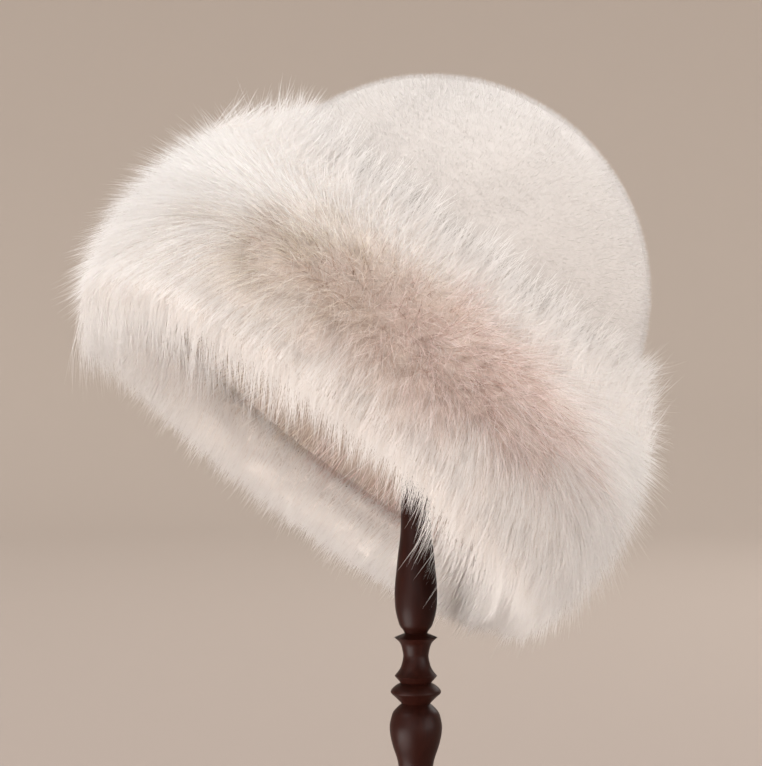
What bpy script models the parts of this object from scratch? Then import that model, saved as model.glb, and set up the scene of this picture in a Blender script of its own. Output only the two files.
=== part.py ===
# A fur hat with a round plush crown and a deep fur cuff, set tilted on a turned wooden stand.
# Metres, +Z up. The origin is the centre of the stand's underside, and the front faces -Y.
# The hat is modelled upright about its own axis, with its origin at the dome's centre, and an
# empty then tilts it. Lengths along that axis are called heights, and are negative below the dome.

from math import asin, cos, pi, radians, sin, sqrt

import bmesh
import bpy
from mathutils import Vector

MM = 0.001

# How the hat sits on the stand
STAND_HEIGHT = 414.5 * MM  # floor to the top of the stand's head
HAT_ASIDE = 7.0 * MM  # the dome's centre is this far to the right of the post
HAT_TILT = radians(37.1)  # the crown leans to the right
HAT_LEAN = radians(15.0)  # and away from the front

# The clearance between pieces that touch on the real object
GAP = 0.3 * MM

# Crown: a dome of sheared plush on a short straight skirt
CROWN_RADIUS = 96.0 * MM  # outside of the pile
CROWN_WALL = 5.0 * MM  # pelt and pile
CROWN_SKIRT = 24.0 * MM  # straight wall below the dome's widest ring

# Brim: the flared wall that the deep fur is sewn to
BRIM_DROP = 66.0 * MM  # from the crown's seam to the rim
BRIM_FLARE = 20.0 * MM  # the rim's radius less the seam's
BRIM_WALL = 3.0 * MM
BRIM_CURVE = 1.25  # over 1, the wall flares most near its rim

# Lining: thin cloth inside the crown and the brim
LINING_WALL = 1.3 * MM
FUR_TUCK = 18.0 * MM  # the fur turns this far up inside the rim, where the lining ends

# Deep fur
FUR_TOP = 21.0 * MM  # at the sides the pelt's edge stands this far above the dome's widest ring
FUR_TOP_RISE = 31.0 * MM  # it is this much higher at the back, and lower at the front
FUR_DEPTH = 42.0 * MM  # out from the pelt at the fullest place
FUR_LOCKS_AROUND = 24
LOCK_SIDES = 3  # grid columns for each lock
LOCK_ROWS = 3  # grid rows for each lock
LOCK_OUT = 5.0 * MM  # a lock's tip stands this far out of the fur's mean outline
LOCK_IN = 3.0 * MM  # the hollows between locks lie this far inside it
LOCK_DROOP = 4.0 * MM  # and each tip hangs this far along the outline

# The fur's mean outline in section. Each row grows from one place on the pelt:
#   along: 0 to 1 down the outside, 1 to 2 round the rim's edge, 2 to 3 up the tucked inside
#   deep:  the fur's depth there, as a share of FUR_DEPTH
#   fan:   the way the hair points, in degrees above the horizontal, measured in the section
FUR_SECTIONS = (
    # along, deep, fan
    (0.00, 0.12, 70),
    (0.13, 0.35, 45),
    (0.22, 0.65, 22),
    (0.35, 0.90, 11),
    (0.50, 1.00, 3),
    (0.67, 0.92, -4),
    (0.84, 0.73, -12),
    (1.00, 0.42, -22),
    (1.30, 0.30, -55),
    (1.60, 0.32, -90),
    (2.00, 0.39, -124),
    (2.35, 0.28, -153),
    (2.90, 0.16, -165),
)
FUR_OUTLINE_STEPS = 2  # points for each row above

# Stand's head: a plain mushroom that the lining rests on
HEAD_CURVE = 60.0 * MM  # radius of its domed top
HEAD_RADIUS = 46.0 * MM
HEAD_EDGE = 6.0 * MM
HEAD_BOSS_RADIUS = 11.0 * MM
HEAD_BOSS = 8.0 * MM
HEAD_REST = 1.2 * MM  # clearance between the two curves, most of it taken up by their facets

# Stand's base
BASE_RADIUS = 85.0 * MM
BASE_EDGE = 12.0 * MM
BASE_BOSS_RADIUS = 10.0 * MM
BASE_HEIGHT = 50.0 * MM

# Round tenons at both ends of the post
TENON_RADIUS = 4.0 * MM
TENON_LENGTH = 6.0 * MM

# The post's turned outline, bottom to top: height as a share of the post's length between its two
# shoulders, and radius as a share of POST_RADIUS
POST_RADIUS = 12.1 * MM
POST_SECTIONS = (
    # height, radius
    (0.000, 0.74),
    (0.010, 0.86),
    (0.022, 0.90),
    (0.034, 0.80),
    (0.040, 0.50),
    (0.070, 0.46),
    (0.115, 0.49),
    (0.152, 0.57),
    (0.182, 0.67),
    (0.194, 0.75),
    (0.207, 0.87),
    (0.220, 0.96),
    (0.232, 1.00),
    (0.242, 0.98),
    (0.255, 0.88),
    (0.263, 0.70),
    (0.268, 0.54),
    (0.284, 0.96),
    (0.294, 0.66),
    (0.297, 0.58),
    (0.307, 0.81),
    (0.313, 0.68),
    (0.320, 0.57),
    (0.332, 0.49),
    (0.340, 0.50),
    (0.353, 0.60),
    (0.361, 0.82),
    (0.367, 0.43),
    (0.372, 0.50),
    (0.378, 0.62),
    (0.391, 0.73),
    (0.403, 0.79),
    (0.416, 0.81),
    (0.430, 0.81),
    (0.455, 0.75),
    (0.480, 0.68),
    (0.505, 0.60),
    (0.545, 0.57),
    (0.700, 0.52),
    (1.000, 0.50),
)

SHELL_SIDES = FUR_LOCKS_AROUND * LOCK_SIDES // 2  # two of the fur's columns for each side
DOME_STEPS = 7
BRIM_STEPS = 4
POST_SIDES = 16
BASE_SIDES = 36
HEAD_SIDES = 24

# The fur's pelt follows the dome in straight steps, and this keeps their middles off it
PELT_STEPS = 4
PELT_ROOM = 1.006

# Seats that follow from the sizes above
CROWN_INNER = CROWN_RADIUS - CROWN_WALL
LINING_OUTER = CROWN_INNER - GAP
LINING_INNER = LINING_OUTER - LINING_WALL
SEAM_HEIGHT = -CROWN_SKIRT
BRIM_TOP = SEAM_HEIGHT - GAP
RIM_HEIGHT = BRIM_TOP - BRIM_DROP
HEAD_CENTRE = STAND_HEIGHT - HEAD_CURVE
HEAD_TOUCH = LINING_INNER - HEAD_REST - HEAD_CURVE
DOME_CENTRE = HEAD_CENTRE - sqrt(HEAD_TOUCH**2 - HAT_ASIDE**2)
HEAD_SHOULDER = HEAD_CENTRE + HEAD_CURVE * cos(asin(HEAD_RADIUS / HEAD_CURVE))
HEAD_SEAT = HEAD_SHOULDER - HEAD_EDGE - HEAD_BOSS
POST_FOOT = BASE_HEIGHT + GAP
POST_TOP = HEAD_SEAT - GAP


def clear_scene():
    for obj in list(bpy.data.objects):
        bpy.data.objects.remove(obj, do_unlink=True)


def make_material(name, colour, roughness):
    """A plain Principled finish, with the colour as linear red, green and blue."""
    material = bpy.data.materials.new(name)
    material.use_nodes = True
    shader = material.node_tree.nodes["Principled BSDF"]
    shader.inputs["Base Color"].default_value = (*colour, 1.0)
    shader.inputs["Roughness"].default_value = roughness
    shader.inputs["Metallic"].default_value = 0.0
    return material


def add_object(name, mesh, material, parent=None, location=(0.0, 0.0, 0.0)):
    """Links the mesh as a named object. Round work is shaded smooth, with its crisp edges kept."""
    mesh.shade_smooth()
    mesh.set_sharp_from_angle(angle=radians(40))
    mesh.materials.append(material)
    obj = bpy.data.objects.new(name, mesh)
    bpy.context.scene.collection.objects.link(obj)
    obj.location = location
    obj.parent = parent
    return obj


def turn(name, profile, sides, closed=False):
    """Spins a profile of (radius, height) points about Z, as a lathe does. A closed profile makes a
    ring, and an open one starts and ends on the axis."""
    mesh = bpy.data.meshes.new(name)
    bm = bmesh.new()
    points = [bm.verts.new((radius, 0.0, height)) for radius, height in profile]
    edges = [bm.edges.new(pair) for pair in zip(points, points[1:])]
    if closed:
        edges.append(bm.edges.new((points[-1], points[0])))
    bmesh.ops.spin(
        bm, geom=points + edges, cent=(0, 0, 0), axis=(0, 0, 1), angle=2 * pi, steps=sides
    )
    bmesh.ops.remove_doubles(bm, verts=bm.verts, dist=0.01 * MM)
    bmesh.ops.recalc_face_normals(bm, faces=bm.faces)
    bm.to_mesh(mesh)
    bm.free()
    return mesh


def dome_arc(radius, steps=DOME_STEPS):
    """Points of a quarter circle in section, from the apex down to the widest ring."""
    angles = [pi / 2 * step / steps for step in range(steps + 1)]
    return [(radius * sin(angle), radius * cos(angle)) for angle in angles]


def brim_radius(height, inside=False):
    """The brim wall's radius at a height. It flares in straight steps from the crown's seam out to
    the rim, and all that follows the wall follows those steps."""
    place = min(1.0, max(0.0, (BRIM_TOP - height) / BRIM_DROP)) * BRIM_STEPS
    step = min(int(place), BRIM_STEPS - 1)
    flares = [BRIM_FLARE * (k / BRIM_STEPS) ** BRIM_CURVE for k in (step, step + 1)]
    radius = CROWN_INNER + flares[0] + (flares[1] - flares[0]) * (place - step)
    return radius if inside else radius + BRIM_WALL


def brim_heights(top, bottom):
    """Both heights and the brim's own steps between them, going down."""
    steps = [BRIM_TOP - BRIM_DROP * step / BRIM_STEPS for step in range(BRIM_STEPS + 1)]
    return [top] + [h for h in steps if bottom + MM < h < top - MM] + [bottom]


def make_crown(seat, plush):
    """The hollow dome and its skirt, one wall thick."""
    outside = dome_arc(CROWN_RADIUS) + [(CROWN_RADIUS, SEAM_HEIGHT)]
    inside = dome_arc(CROWN_INNER) + [(CROWN_INNER, SEAM_HEIGHT)]
    mesh = turn("crown", outside + inside[::-1], SHELL_SIDES)
    return add_object("crown", mesh, plush, seat)


def make_brim(seat, pelt):
    """The flared wall below the crown's seam, open at both ends."""
    heights = brim_heights(BRIM_TOP, RIM_HEIGHT)
    outside = [(brim_radius(height), height) for height in heights]
    inside = [(brim_radius(height, inside=True), height) for height in heights]
    mesh = turn("brim", outside + inside[::-1], SHELL_SIDES, closed=True)
    return add_object("brim", mesh, pelt, seat)


def make_lining(seat, cloth):
    """Thin cloth that follows the crown and the brim inside, down to where the fur is tucked in."""
    heights = brim_heights(BRIM_TOP, RIM_HEIGHT + FUR_TUCK + GAP)
    brim_side = [brim_radius(height, inside=True) - GAP for height in heights]
    outside = dome_arc(LINING_OUTER) + list(zip(brim_side, heights))
    inside = dome_arc(LINING_INNER)
    inside += [(radius - LINING_WALL, height) for radius, height in zip(brim_side, heights)]
    mesh = turn("lining", outside + inside[::-1], SHELL_SIDES)
    return add_object("lining", mesh, cloth, seat)


def crown_side(height):
    """The radius just clear of the crown: its dome above the widest ring, and its skirt below."""
    return sqrt(CROWN_RADIUS**2 - max(height, 0.0) ** 2) * PELT_ROOM + GAP


def pelt_path(top):
    """Where the fur's pelt lies in section, from a top edge at the height given: (place along it,
    radius, height). It runs down the crown and the brim, round the rim's edge and up inside, a gap
    clear of both walls."""
    drop = top - RIM_HEIGHT
    ledge = SEAM_HEIGHT - 2 * GAP
    path = []
    for step in range(PELT_STEPS + 1):
        height = top + (ledge - top) * step / PELT_STEPS
        path.append(((top - height) / drop, crown_side(height), height))
    for height in brim_heights(ledge - BRIM_WALL, RIM_HEIGHT):
        path.append(((top - height) / drop, brim_radius(height) + GAP, height))
    path.append((1.2, brim_radius(RIM_HEIGHT) + GAP, RIM_HEIGHT - GAP))
    path.append((1.8, brim_radius(RIM_HEIGHT, inside=True) - GAP, RIM_HEIGHT - GAP))
    for height in brim_heights(RIM_HEIGHT + FUR_TUCK, RIM_HEIGHT)[-2::-1]:
        along = 2.0 + (height - RIM_HEIGHT) / FUR_TUCK
        path.append((along, brim_radius(height, inside=True) - GAP, height))
    return path


def pelt_point(along, path):
    """The point of the pelt at a place along it, between the path's own points."""
    for (start, *first), (end, *second) in zip(path, path[1:]):
        if along <= end:
            share = (along - start) / (end - start)
            return [a + (b - a) * share for a, b in zip(first, second)]
    return path[-1][1:]


def smooth_through(points, steps):
    """A Catmull-Rom curve through points of any number of columns."""
    ends = [points[0], *points, points[-1]]
    curve = []
    for before, first, second, after in zip(ends, ends[1:], ends[2:], ends[3:]):
        for step in range(steps):
            t = step / steps
            weights = (
                -t / 2 + t**2 - t**3 / 2,
                1 - 2.5 * t**2 + 1.5 * t**3,
                t / 2 + 2 * t**2 - 1.5 * t**3,
                -(t**2) / 2 + t**3 / 2,
            )
            corners = zip(before, first, second, after)
            curve.append([sum(w * c for w, c in zip(weights, corner)) for corner in corners])
    curve.append(list(points[-1]))
    return curve


def fur_outline(path):
    """The fur's mean outline in section, from its upper edge round to its tucked end, as
    (radius, height, hair's radial part, hair's upward part)."""
    rows = []
    for along, deep, fan in FUR_SECTIONS:
        radius, height = pelt_point(along, path)
        out, up = cos(radians(fan)), sin(radians(fan))
        reach = deep * FUR_DEPTH
        rows.append((radius + reach * out, height + reach * up, out, up))
    return smooth_through(rows, FUR_OUTLINE_STEPS)


def lock_share(column, row):
    """1 at a lock's tip and 0 in the hollow round it. Every second row of locks is shifted by half
    a lock, so that they overlap as hair does."""
    band = row // LOCK_ROWS
    across = (column + (LOCK_SIDES // 2 + 1) * (band % 2)) % LOCK_SIDES
    down = row % LOCK_ROWS
    return (1.0 if across == LOCK_SIDES // 2 else 0.0) * (1.0 if down == LOCK_ROWS // 2 else 0.35)


def make_fur(seat, fur):
    """Deep fur as rows of pointed locks fused to their pelt, in one closed ring round the walls."""
    columns = FUR_LOCKS_AROUND * LOCK_SIDES
    last = (len(FUR_SECTIONS) - 1) * FUR_OUTLINE_STEPS
    mesh = bpy.data.meshes.new("fur_cuff")
    bm = bmesh.new()
    loops = []
    for column in range(columns):
        angle = 2 * pi * column / columns
        flat = cos(pi / SHELL_SIDES) if column % 2 else 1.0  # the walls are flat between corners
        path = pelt_path(FUR_TOP + FUR_TOP_RISE * sin(angle))
        section = []
        for row, (radius, height, out, up) in enumerate(fur_outline(path)):
            tip = lock_share(column, row)
            fade = sin(pi * row / last) ** 0.5 if 0 < row < last else 0.0
            push = fade * (LOCK_OUT * tip - LOCK_IN * (1 - tip))
            droop = fade * LOCK_DROOP * tip
            section.append((radius + push * out + droop * up, height + push * up - droop * out))
        section += [(radius * flat, height) for _, radius, height in reversed(path)]
        loops.append(
            [bm.verts.new((r * cos(angle), r * sin(angle), h)) for r, h in section]
        )
    for first, second in zip(loops, loops[1:] + loops[:1]):
        for k, point in enumerate(first):
            after = (k + 1) % len(first)
            bm.faces.new((point, second[k], second[after], first[after]))
    bmesh.ops.recalc_face_normals(bm, faces=bm.faces)
    bmesh.ops.triangulate(bm, faces=bm.faces)
    bm.to_mesh(mesh)
    bm.free()
    return add_object("fur_cuff", mesh, fur, seat)


def make_head(wood):
    """A domed disc on a short boss, with a blind socket for the post's tenon. Its top lies against
    the lining beside the dome's apex, right above the hat's centre of gravity."""
    half = asin(HEAD_RADIUS / HEAD_CURVE)
    angles = [half * step / DOME_STEPS for step in range(DOME_STEPS + 1)]
    socket = HEAD_SEAT + TENON_LENGTH + GAP
    profile = [(HEAD_CURVE * sin(a), HEAD_CENTRE + HEAD_CURVE * cos(a)) for a in angles]
    profile += [
        (HEAD_RADIUS, HEAD_SHOULDER - HEAD_EDGE / 2),
        (HEAD_RADIUS - HEAD_EDGE / 2, HEAD_SHOULDER - HEAD_EDGE),
        (HEAD_BOSS_RADIUS, HEAD_SEAT + HEAD_BOSS),
        (HEAD_BOSS_RADIUS, HEAD_SEAT),
        (TENON_RADIUS + GAP, HEAD_SEAT),
        (TENON_RADIUS + GAP, socket),
        (0.0, socket),
    ]
    return add_object("stand_head", turn("stand_head", profile, HEAD_SIDES), wood)


def make_post(wood):
    """The turned post between two tenons."""
    length = POST_TOP - POST_FOOT
    profile = [(0.0, POST_FOOT - TENON_LENGTH), (TENON_RADIUS, POST_FOOT - TENON_LENGTH)]
    profile.append((TENON_RADIUS, POST_FOOT))
    profile += [(r * POST_RADIUS, POST_FOOT + h * length) for h, r in POST_SECTIONS]
    profile.append((TENON_RADIUS, POST_TOP))
    profile += [(TENON_RADIUS, POST_TOP + TENON_LENGTH), (0.0, POST_TOP + TENON_LENGTH)]
    return add_object("stand_post", turn("stand_post", profile, POST_SIDES), wood)


def make_base(wood):
    """A round foot whose top sweeps up in a hollow curve to the post's seat."""
    socket = BASE_HEIGHT - TENON_LENGTH - GAP
    sweep_height = BASE_HEIGHT - BASE_EDGE
    sweep_width = BASE_RADIUS - BASE_EDGE / 2 - BASE_BOSS_RADIUS
    profile = [(0.0, 0.0), (BASE_RADIUS - BASE_EDGE / 4, 0.0), (BASE_RADIUS, BASE_EDGE / 4)]
    profile.append((BASE_RADIUS, BASE_EDGE * 3 / 4))
    for step in range(DOME_STEPS + 1):
        angle = pi / 2 * step / DOME_STEPS
        radius = BASE_BOSS_RADIUS + sweep_width * (1 - sin(angle))
        profile.append((radius, BASE_EDGE + sweep_height * (1 - cos(angle))))
    profile += [(TENON_RADIUS + GAP, BASE_HEIGHT), (TENON_RADIUS + GAP, socket), (0.0, socket)]
    return add_object("stand_base", turn("stand_base", profile, BASE_SIDES), wood)


def make_hat_seat():
    """An empty at the dome's centre that carries the hat's tilt."""
    seat = bpy.data.objects.new("hat_seat", None)
    bpy.context.scene.collection.objects.link(seat)
    seat.location = Vector((HAT_ASIDE, 0.0, DOME_CENTRE))
    seat.rotation_euler = (-HAT_LEAN, HAT_TILT, 0.0)
    return seat


def main():
    clear_scene()
    plush = make_material("crown_plush", (0.80, 0.74, 0.69), 0.90)
    fur = make_material("cuff_fur", (0.76, 0.68, 0.62), 0.85)
    pelt = make_material("brim_pelt", (0.60, 0.50, 0.42), 0.90)
    cloth = make_material("lining_cloth", (0.55, 0.42, 0.36), 0.70)
    wood = make_material("stand_wood", (0.030, 0.014, 0.010), 0.35)
    seat = make_hat_seat()
    make_crown(seat, plush)
    make_brim(seat, pelt)
    make_lining(seat, cloth)
    make_fur(seat, fur)
    make_head(wood)
    make_post(wood)
    make_base(wood)


main()
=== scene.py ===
# White fur hat with a plush crown and a deep fur cuff, tilted on a dark turned wooden stand.
# Hat pieces are worked out in the hat's own axes (right, back, up the crown) and then tilted.
import math
import bpy
import numpy as np
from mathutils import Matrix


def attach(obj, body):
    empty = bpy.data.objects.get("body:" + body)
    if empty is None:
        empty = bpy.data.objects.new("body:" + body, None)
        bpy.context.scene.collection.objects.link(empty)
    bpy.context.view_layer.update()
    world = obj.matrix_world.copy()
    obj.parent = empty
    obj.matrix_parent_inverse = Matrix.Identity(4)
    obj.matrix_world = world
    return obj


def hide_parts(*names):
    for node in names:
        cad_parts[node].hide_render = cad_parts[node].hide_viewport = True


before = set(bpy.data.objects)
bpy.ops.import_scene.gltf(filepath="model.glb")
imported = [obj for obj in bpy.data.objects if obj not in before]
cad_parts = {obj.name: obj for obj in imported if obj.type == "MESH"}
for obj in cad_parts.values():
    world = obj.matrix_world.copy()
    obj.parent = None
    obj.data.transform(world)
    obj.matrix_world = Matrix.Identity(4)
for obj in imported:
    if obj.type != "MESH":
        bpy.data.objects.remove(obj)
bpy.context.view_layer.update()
mm = 0.001

# how the hat sits on the stand
hat = dict(
    centre=(7.0 * mm, 0.0, 327.18 * mm),  # the dome's centre
    tilt=math.radians(37.1),  # the crown leans to the right
    lean=math.radians(15.0),  # and away from the camera
    gap=0.3 * mm,
)
tiltCos, tiltSin = math.cos(hat["tilt"]), math.sin(hat["tilt"])
leanCos, leanSin = math.cos(hat["lean"]), math.sin(hat["lean"])
hatAxes = np.array([
    (tiltCos, 0.0, -tiltSin),
    (-leanSin * tiltSin, leanCos, -leanSin * tiltCos),
    (leanCos * tiltSin, leanSin, leanCos * tiltCos),
])


# a hat point (right, back, up) turned into a world point
def toWorld(points):
    return points @ hatAxes + np.array(hat["centre"])


def toWorldWay(ways):
    return ways @ hatAxes


def unit(ways):
    return ways / np.maximum(np.linalg.norm(ways, axis=-1, keepdims=True), 1e-12)


# Small helpers for meshes

# points is (n, 3) and faces is (m, corners); smooth shading, with extra point attributes if given
def addMesh(name, points, faces, material, marks=None, normals=None, uv=None):
    mesh = bpy.data.meshes.new(name)
    faces = np.asarray(faces, dtype=np.int32)
    count, corners = faces.shape
    mesh.vertices.add(len(points))
    mesh.vertices.foreach_set("co", np.asarray(points, dtype=np.float32).ravel())
    mesh.loops.add(count * corners)
    mesh.loops.foreach_set("vertex_index", faces.ravel())
    mesh.polygons.add(count)
    mesh.polygons.foreach_set("loop_start", np.arange(count, dtype=np.int32) * corners)
    mesh.update(calc_edges=True)
    mesh.validate()
    mesh.shade_smooth()
    for key, values in (marks or {}).items():
        layer = mesh.attributes.new(key, "FLOAT", "POINT")
        layer.data.foreach_set("value", np.asarray(values, dtype=np.float32))
    if uv is not None:
        layer = mesh.uv_layers.new(name="OFBake")
        layer.data.foreach_set("uv", np.asarray(uv, dtype=np.float32).ravel())
    if normals is not None:
        mesh.normals_split_custom_set_from_vertices(np.asarray(normals, dtype=np.float32))
    mesh.materials.append(material)
    piece = bpy.data.objects.new(name, mesh)
    bpy.context.scene.collection.objects.link(piece)
    return piece


# quads over a grid of rows by columns; either way round may be closed
def gridFaces(rows, columns, closeRows=False, closeColumns=True):
    r = np.arange(rows if closeRows else rows - 1)
    c = np.arange(columns if closeColumns else columns - 1)
    r, c = np.meshgrid(r, c, indexing="ij")
    down, across = (r + 1) % rows, (c + 1) % columns
    corners = (r * columns + c, r * columns + across, down * columns + across, down * columns + c)
    return np.stack(corners, -1).reshape(-1, 4)


# a profile spun round the up axis: radius times cosine, radius times sine, height
def spin(radius, height, columns):
    turn = np.arange(columns) * 2 * math.pi / columns
    radius = radius if radius.ndim == 2 else np.repeat(radius[:, None], columns, 1)
    height = np.repeat(height[:, None], columns, 1)
    return np.stack([radius * np.cos(turn), radius * np.sin(turn), height], -1)


# triangles of a spun profile whose two ends are closed by the two points that follow the grid
def closedFaces(rows, columns, downwards):
    quads = gridFaces(rows, columns)
    if downwards:
        quads = quads[:, ::-1]
    c = np.arange(columns)
    first, second = (c, (c + 1) % columns) if downwards else ((c + 1) % columns, c)
    last = (rows - 1) * columns
    startCap = np.stack([np.full(columns, rows * columns), first, second], -1)
    endCap = np.stack([np.full(columns, rows * columns + 1), last + second, last + first], -1)
    return np.concatenate([quads[:, [0, 1, 2]], quads[:, [0, 2, 3]], startCap, endCap])


# smooth random waves: a sum of a few sines in random directions, about -1 to 1
def softNoise(points, waveLength, seed, count=9):
    rng = np.random.default_rng(seed)
    ways = unit(rng.normal(size=(count, 3))) * (2 * math.pi / waveLength)
    ways *= rng.uniform(0.6, 1.5, size=(count, 1))
    turns = rng.uniform(0, 2 * math.pi, count)
    return np.sin(points @ ways.T + turns).sum(-1) / math.sqrt(count)


def between(low, high, value):
    t = np.clip((value - low) / (high - low), 0, 1)
    return t * t * (3 - 2 * t)


# Small helpers for materials

# sRGB hex to linear colour
def hexColour(text):
    parts = [int(text[k:k + 2], 16) / 255 for k in (0, 2, 4)]
    return tuple(v / 12.92 if v <= 0.04045 else ((v + 0.055) / 1.055) ** 2.4 for v in parts) + (1.0,)


# adds a node with its settings; an input's value may be another node's socket
def addNode(tree, kind, inputs=None, **settings):
    node = tree.nodes.new(kind)
    for key, value in settings.items():
        setattr(node, key, value)
    for key, value in (inputs or {}).items():
        if isinstance(value, bpy.types.NodeSocket):
            tree.links.new(value, node.inputs[key])
        else:
            node.inputs[key].default_value = value
    return node


def newMaterial(name):
    material = bpy.data.materials.new(name)
    material.use_nodes = True
    tree = material.node_tree
    return material, tree, tree.nodes["Principled BSDF"]


# a colour ramp node from (place, hex) pairs
def addRamp(tree, factor, stops):
    ramp = addNode(tree, "ShaderNodeValToRGB", {"Fac": factor})
    marks = ramp.color_ramp.elements
    while len(marks) < len(stops):
        marks.new(0.5)
    for mark, (place, colour) in zip(marks, stops):
        mark.position = place
        mark.color = hexColour(colour)
    return ramp.outputs["Color"]


def mixColours(tree, factor, first, second, kind="MIX"):
    mix = addNode(tree, "ShaderNodeMix", data_type="RGBA", blend_type=kind)
    for socket, value in ((mix.inputs[0], factor), (mix.inputs[6], first), (mix.inputs[7], second)):
        if isinstance(value, bpy.types.NodeSocket):
            tree.links.new(value, socket)
        else:
            socket.default_value = value
    return mix.outputs[2]


# The cuff's shape, shared by its underfur and its hair

cuff = dict(
    crownRadius=96.0 * mm,
    crownInner=91.0 * mm,
    seam=-24.3 * mm,
    rim=-90.3 * mm,
    flare=20.0 * mm,
    flareCurve=1.25,
    wall=3.0 * mm,
    tuck=18.0 * mm,
    top=21.0 * mm,  # the pelt's upper edge at the sides
    topRise=31.0 * mm,  # higher at the back, lower at the front
    depth=42.0 * mm,
    # place along the pelt, depth as a share, the hair's way in degrees above the horizontal
    sections=(
        (0.00, 0.12, 70), (0.13, 0.35, 45), (0.22, 0.65, 22), (0.35, 0.90, 11),
        (0.50, 1.00, 3), (0.67, 0.92, -4), (0.84, 0.73, -12), (1.00, 0.42, -22),
        (1.30, 0.30, -55), (1.60, 0.32, -90), (2.00, 0.39, -124), (2.35, 0.28, -153),
        (2.90, 0.16, -165),
    ),
    columns=480,
)


def brimInside(height):
    share = np.clip((cuff["seam"] - height) / (cuff["seam"] - cuff["rim"]), 0, 1)
    return cuff["crownInner"] + cuff["flare"] * share ** cuff["flareCurve"]


# the pelt in section: down the crown and the brim, round the rim, and up inside
def peltPoint(along, top):
    height = np.where(along < 1, top + along * (cuff["rim"] - top), cuff["rim"])
    height = np.where(along > 2, cuff["rim"] + (along - 2) * cuff["tuck"], height)
    dome = np.sqrt(cuff["crownRadius"] ** 2 - np.clip(height, 0, None) ** 2) + 2 * hat["gap"]
    outer = np.where(height > cuff["seam"] - 3 * mm, dome, brimInside(height) + cuff["wall"] + hat["gap"])
    inner = brimInside(height) - hat["gap"]
    radius = outer + (inner - outer) * between(1.0, 2.0, along)
    return radius, height - hat["gap"] * ((along > 1) & (along < 2))


# depth and way of the hair along the pelt, smoothed from the table
def hairTable(along):
    table = np.array(cuff["sections"])
    fine = np.linspace(0, 2.9, 581)
    kernel = np.hanning(31) / np.hanning(31).sum()
    found = []
    for column in (1, 2):
        values = np.interp(fine, table[:, 0], table[:, column])
        padded = np.concatenate([np.full(15, values[0]), values, np.full(15, values[-1])])
        found.append(np.interp(along, fine, np.convolve(padded, kernel, "valid")))
    return found


# the whole cuff on a grid: pelt point, outer point and outward way, each (rows, columns, 3)
def cuffGrid():
    along = np.concatenate([np.linspace(0, 1, 90), np.linspace(1, 2, 27)[1:], np.linspace(2, 2.9, 31)[1:]])
    turn = np.arange(cuff["columns"]) * 2 * math.pi / cuff["columns"]
    a, t = np.meshgrid(along, turn, indexing="ij")
    top = cuff["top"] + cuff["topRise"] * np.sin(t)
    radius, height = peltPoint(a, top)
    deep, way = hairTable(a)
    way = np.radians(way)
    reach = deep * cuff["depth"]
    outRadius, outHeight = radius + reach * np.cos(way), height + reach * np.sin(way)
    ring = np.stack([np.cos(t), np.sin(t)], -1)
    pelt = np.concatenate([radius[..., None] * ring, height[..., None]], -1)
    outer = np.concatenate([outRadius[..., None] * ring, outHeight[..., None]], -1)
    rows = np.gradient(outer, axis=0)
    columns = np.roll(outer, -1, 1) - np.roll(outer, 1, 1)
    return along, turn, pelt, outer, unit(np.cross(columns, -rows))


cuffAlong, cuffTurn, cuffPelt, cuffOuter, cuffOut = cuffGrid()
cuffPelt, cuffOuter, cuffOut = toWorld(cuffPelt), toWorld(cuffOuter), toWorldWay(cuffOut)

# the darker patch on the front: an oval round the band, in degrees from the front and in height
patch = dict(
    side=4.0, sideReach=57.0,
    height=-54.0 * mm, rise=0.15 * mm, heightReach=44.0 * mm,
    clear=0.25, faded=1.12,  # full strength within the first share of the oval, none past the second
)


# degrees round the hat from its front, and height along its axis
def patchPlace(points):
    local = (points - np.array(hat["centre"])) @ hatAxes.T
    return np.degrees(np.arctan2(local[:, 0], -local[:, 1])), local[:, 2]


# 1 in the middle of the patch, 0 outside it
def patchShare(points):
    side, height = patchPlace(points)
    across = (side - patch["side"]) / patch["sideReach"]
    up = (height - patch["height"] - side * patch["rise"]) / patch["heightReach"]
    ragged = 0.10 * softNoise(points, 30 * mm, 5) + 0.06 * softNoise(points, 9 * mm, 6)
    away = np.sqrt(across ** 2 + up ** 2) + ragged
    return 1 - between(patch["clear"], patch["faded"], away)


# Materials of the hat

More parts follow.
